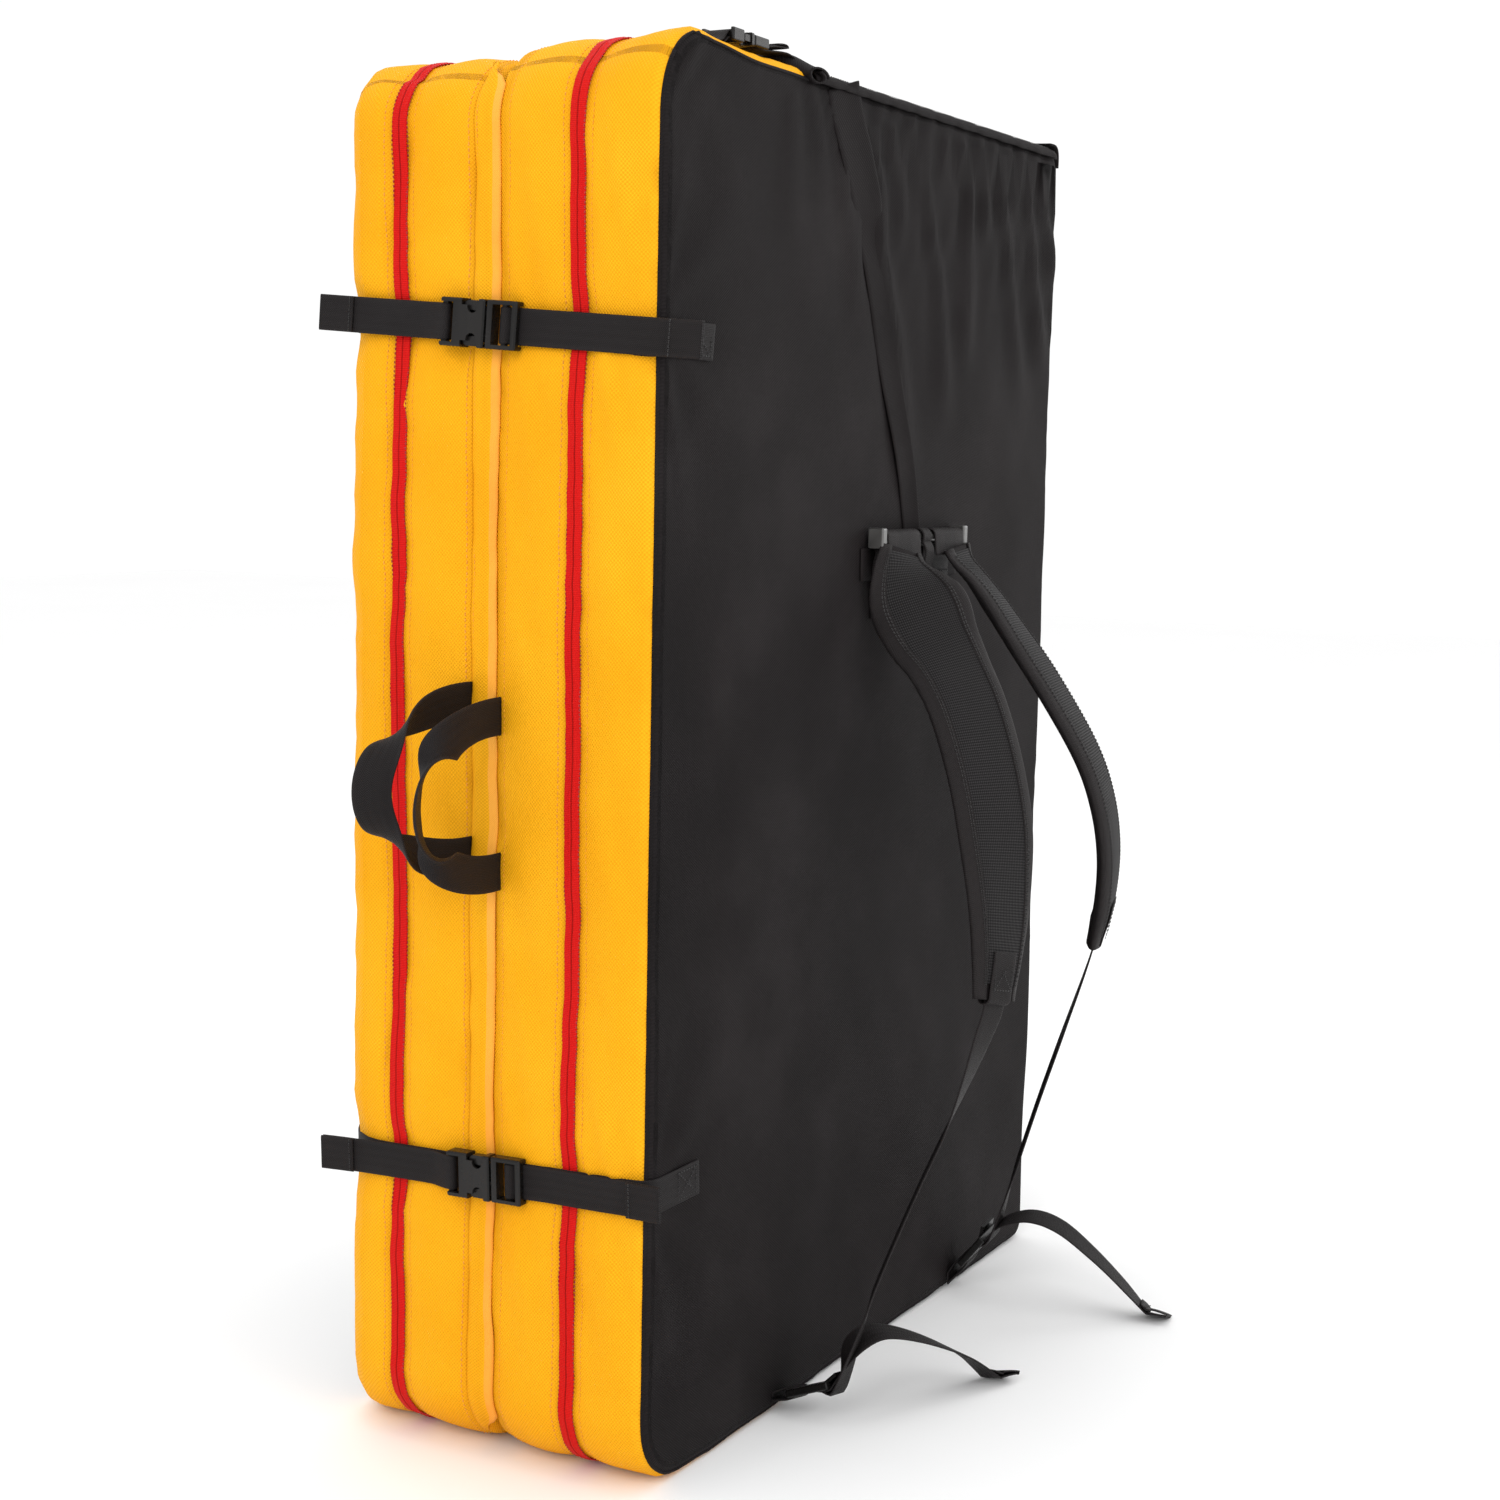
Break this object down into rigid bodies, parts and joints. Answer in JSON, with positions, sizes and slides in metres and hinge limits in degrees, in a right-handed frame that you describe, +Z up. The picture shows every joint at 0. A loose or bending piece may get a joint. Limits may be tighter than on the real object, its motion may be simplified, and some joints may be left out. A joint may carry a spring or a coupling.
{
  "type": "bouldering crash pad",
  "caption": "Folding bouldering crash pad, shut and on end: two foam-filled fabric halves on a fold, with closure straps, grab handles, a storage flap and shoulder straps.",
  "frame": {"origin": "on the ground, under the middle of the half that carries the shoulder straps", "axes": "+Z up the folded pad, +X from the opening side to the fold, -Y the face with the shoulder straps"},
  "size_m": [0.7908, 0.4798, 1.016],
  "materials": {
    "yellow_fabric": "matte",
    "black_fabric": "matte",
    "landing_fabric": "matte",
    "red_zip": "satin",
    "zip_metal": "satin",
    "webbing": "satin",
    "buckle_plastic": "gloss",
    "strap_mesh": "matte",
    "open_cell_foam": "matte",
    "closed_cell_foam": "matte"
  },
  "bodies": {
    "carry_half": {"carry_ground_panel": "black_fabric", "carry_landing_panel": "landing_fabric", "carry_outer_band": "yellow_fabric", "carry_inner_band": "yellow_fabric", "carry_back_band": "black_fabric", "carry_zip": "red_zip", "carry_ground_foam": "closed_cell_foam", "carry_core_foam": "open_cell_foam", "carry_landing_foam": "closed_cell_foam", "fold_welt": "black_fabric", "flap_root": "black_fabric", "flap_socket": "buckle_plastic", "flap_anchor_webbing": "webbing", "anchor_bar": "buckle_plastic", "load_strip": "webbing", "strap_root_wraps": "webbing", "right_ladder_lock": "buckle_plastic", "left_ladder_lock": "buckle_plastic", "right_lower_loop": "webbing", "left_lower_loop": "webbing", "right_tail": "webbing", "left_tail": "webbing", "upper_closure_plug": "buckle_plastic", "lower_closure_plug": "buckle_plastic", "upper_closure_carry_webbing": "webbing", "lower_closure_carry_webbing": "webbing"},
    "plain_half": {"plain_ground_panel": "black_fabric", "plain_landing_panel": "landing_fabric", "plain_outer_band": "yellow_fabric", "plain_inner_band": "yellow_fabric", "plain_back_band": "black_fabric", "plain_zip": "red_zip", "plain_ground_foam": "closed_cell_foam", "plain_core_foam": "open_cell_foam", "plain_landing_foam": "closed_cell_foam", "upper_closure_socket": "buckle_plastic", "lower_closure_socket": "buckle_plastic", "upper_closure_plain_webbing": "webbing", "lower_closure_plain_webbing": "webbing"},
    "flap": {"storage_flap": "black_fabric", "flap_strap": "webbing", "flap_plug": "buckle_plastic"},
    "carry_grab_handle": {"carry_handle": "webbing"},
    "plain_grab_handle": {"plain_handle": "webbing"},
    "right_shoulder_strap": {"right_strap_lining": "strap_mesh", "right_strap_foam": "closed_cell_foam", "right_strap_cover": "black_fabric", "right_adjuster": "webbing"},
    "left_shoulder_strap": {"left_strap_lining": "strap_mesh", "left_strap_foam": "closed_cell_foam", "left_strap_cover": "black_fabric", "left_adjuster": "webbing"},
    "carry_slider": {"carry_zip_slider": "zip_metal"},
    "plain_slider": {"plain_zip_slider": "zip_metal"},
    "upper_closure_arm_upper_body": {"upper_closure_arm_upper": "buckle_plastic"},
    "upper_closure_arm_lower_body": {"upper_closure_arm_lower": "buckle_plastic"},
    "lower_closure_arm_upper_body": {"lower_closure_arm_upper": "buckle_plastic"},
    "lower_closure_arm_lower_body": {"lower_closure_arm_lower": "buckle_plastic"},
    "flap_arm_outer_body": {"flap_arm_outer": "buckle_plastic"},
    "flap_arm_inner_body": {"flap_arm_inner": "buckle_plastic"}
  },
  "joints": [
    {"name": "fold", "type": "hinge", "parent": "carry_half", "child": "plain_half", "pos_m": [0.345, 0.07, 0.5], "axis": [0, 0, -1], "range_deg": [0, 180]},
    {"name": "flap_open", "type": "hinge", "parent": "carry_half", "child": "flap", "pos_m": [0.333, 0.06, 1.01], "axis": [0, 1, 0], "range_deg": [0, 180]},
    {"name": "carry_handle_swing", "type": "hinge", "parent": "carry_half", "child": "carry_grab_handle", "pos_m": [-0.3418, 0.056, 0.487], "axis": [0, 0, 1], "range_deg": [-3, 68]},
    {"name": "plain_handle_swing", "type": "hinge", "parent": "plain_half", "child": "plain_grab_handle", "pos_m": [-0.3418, 0.085, 0.496], "axis": [0, 0, -1], "range_deg": [-3, 65]},
    {"name": "right_strap_swing", "type": "hinge", "parent": "carry_half", "child": "right_shoulder_strap", "pos_m": [-0.006, -0.068, 0.655], "axis": [-0.2107, 0, -0.9776], "range_deg": [-15, 15]},
    {"name": "left_strap_swing", "type": "hinge", "parent": "carry_half", "child": "left_shoulder_strap", "pos_m": [0.096, -0.068, 0.655], "axis": [0.1216, 0, -0.9926], "range_deg": [-15, 15]},
    {"name": "carry_zip_slide", "type": "slide", "parent": "carry_half", "child": "carry_slider", "axis": [-1, 0, 0], "range_m": [0, 0.115]},
    {"name": "plain_zip_slide", "type": "slide", "parent": "plain_half", "child": "plain_slider", "axis": [-1, 0, 0], "range_m": [0, 0.115]},
    {"name": "upper_closure_arm_upper_squeeze", "type": "hinge", "parent": "carry_half", "child": "upper_closure_arm_upper_body", "pos_m": [-0.347, 0.0654, 0.8186], "axis": [-1, 0, 0], "range_deg": [0, 8], "stiffness_Nm_per_rad": 0.02},
    {"name": "upper_closure_arm_lower_squeeze", "type": "hinge", "parent": "carry_half", "child": "upper_closure_arm_lower_body", "pos_m": [-0.347, 0.06678, 0.79885], "axis": [-1, 0, 0], "range_deg": [-8, 0], "stiffness_Nm_per_rad": 0.02},
    {"name": "lower_closure_arm_upper_squeeze", "type": "hinge", "parent": "carry_half", "child": "lower_closure_arm_upper_body", "pos_m": [-0.347, 0.05735, 0.22332], "axis": [-1, 0, 0], "range_deg": [0, 8], "stiffness_Nm_per_rad": 0.02},
    {"name": "lower_closure_arm_lower_squeeze", "type": "hinge", "parent": "carry_half", "child": "lower_closure_arm_lower_body", "pos_m": [-0.347, 0.05669, 0.20354], "axis": [-1, 0, 0], "range_deg": [-8, 0], "stiffness_Nm_per_rad": 0.02},
    {"name": "flap_arm_inner_squeeze", "type": "hinge", "parent": "flap", "child": "flap_arm_inner_body", "pos_m": [-0.2084, -0.03808, 1.01], "axis": [0, 0, 1], "range_deg": [0, 8], "stiffness_Nm_per_rad": 0.02},
    {"name": "flap_arm_outer_squeeze", "type": "hinge", "parent": "flap", "child": "flap_arm_outer_body", "pos_m": [-0.2084, -0.05392, 1.01], "axis": [0, 0, 1], "range_deg": [-8, 0], "stiffness_Nm_per_rad": 0.02}
  ],
  "couplings": [
    {"joint": "upper_closure_arm_lower_squeeze", "follows": "upper_closure_arm_upper_squeeze", "ratio": -1},
    {"joint": "lower_closure_arm_lower_squeeze", "follows": "lower_closure_arm_upper_squeeze", "ratio": -1},
    {"joint": "flap_arm_outer_squeeze", "follows": "flap_arm_inner_squeeze", "ratio": -1}
  ]
}
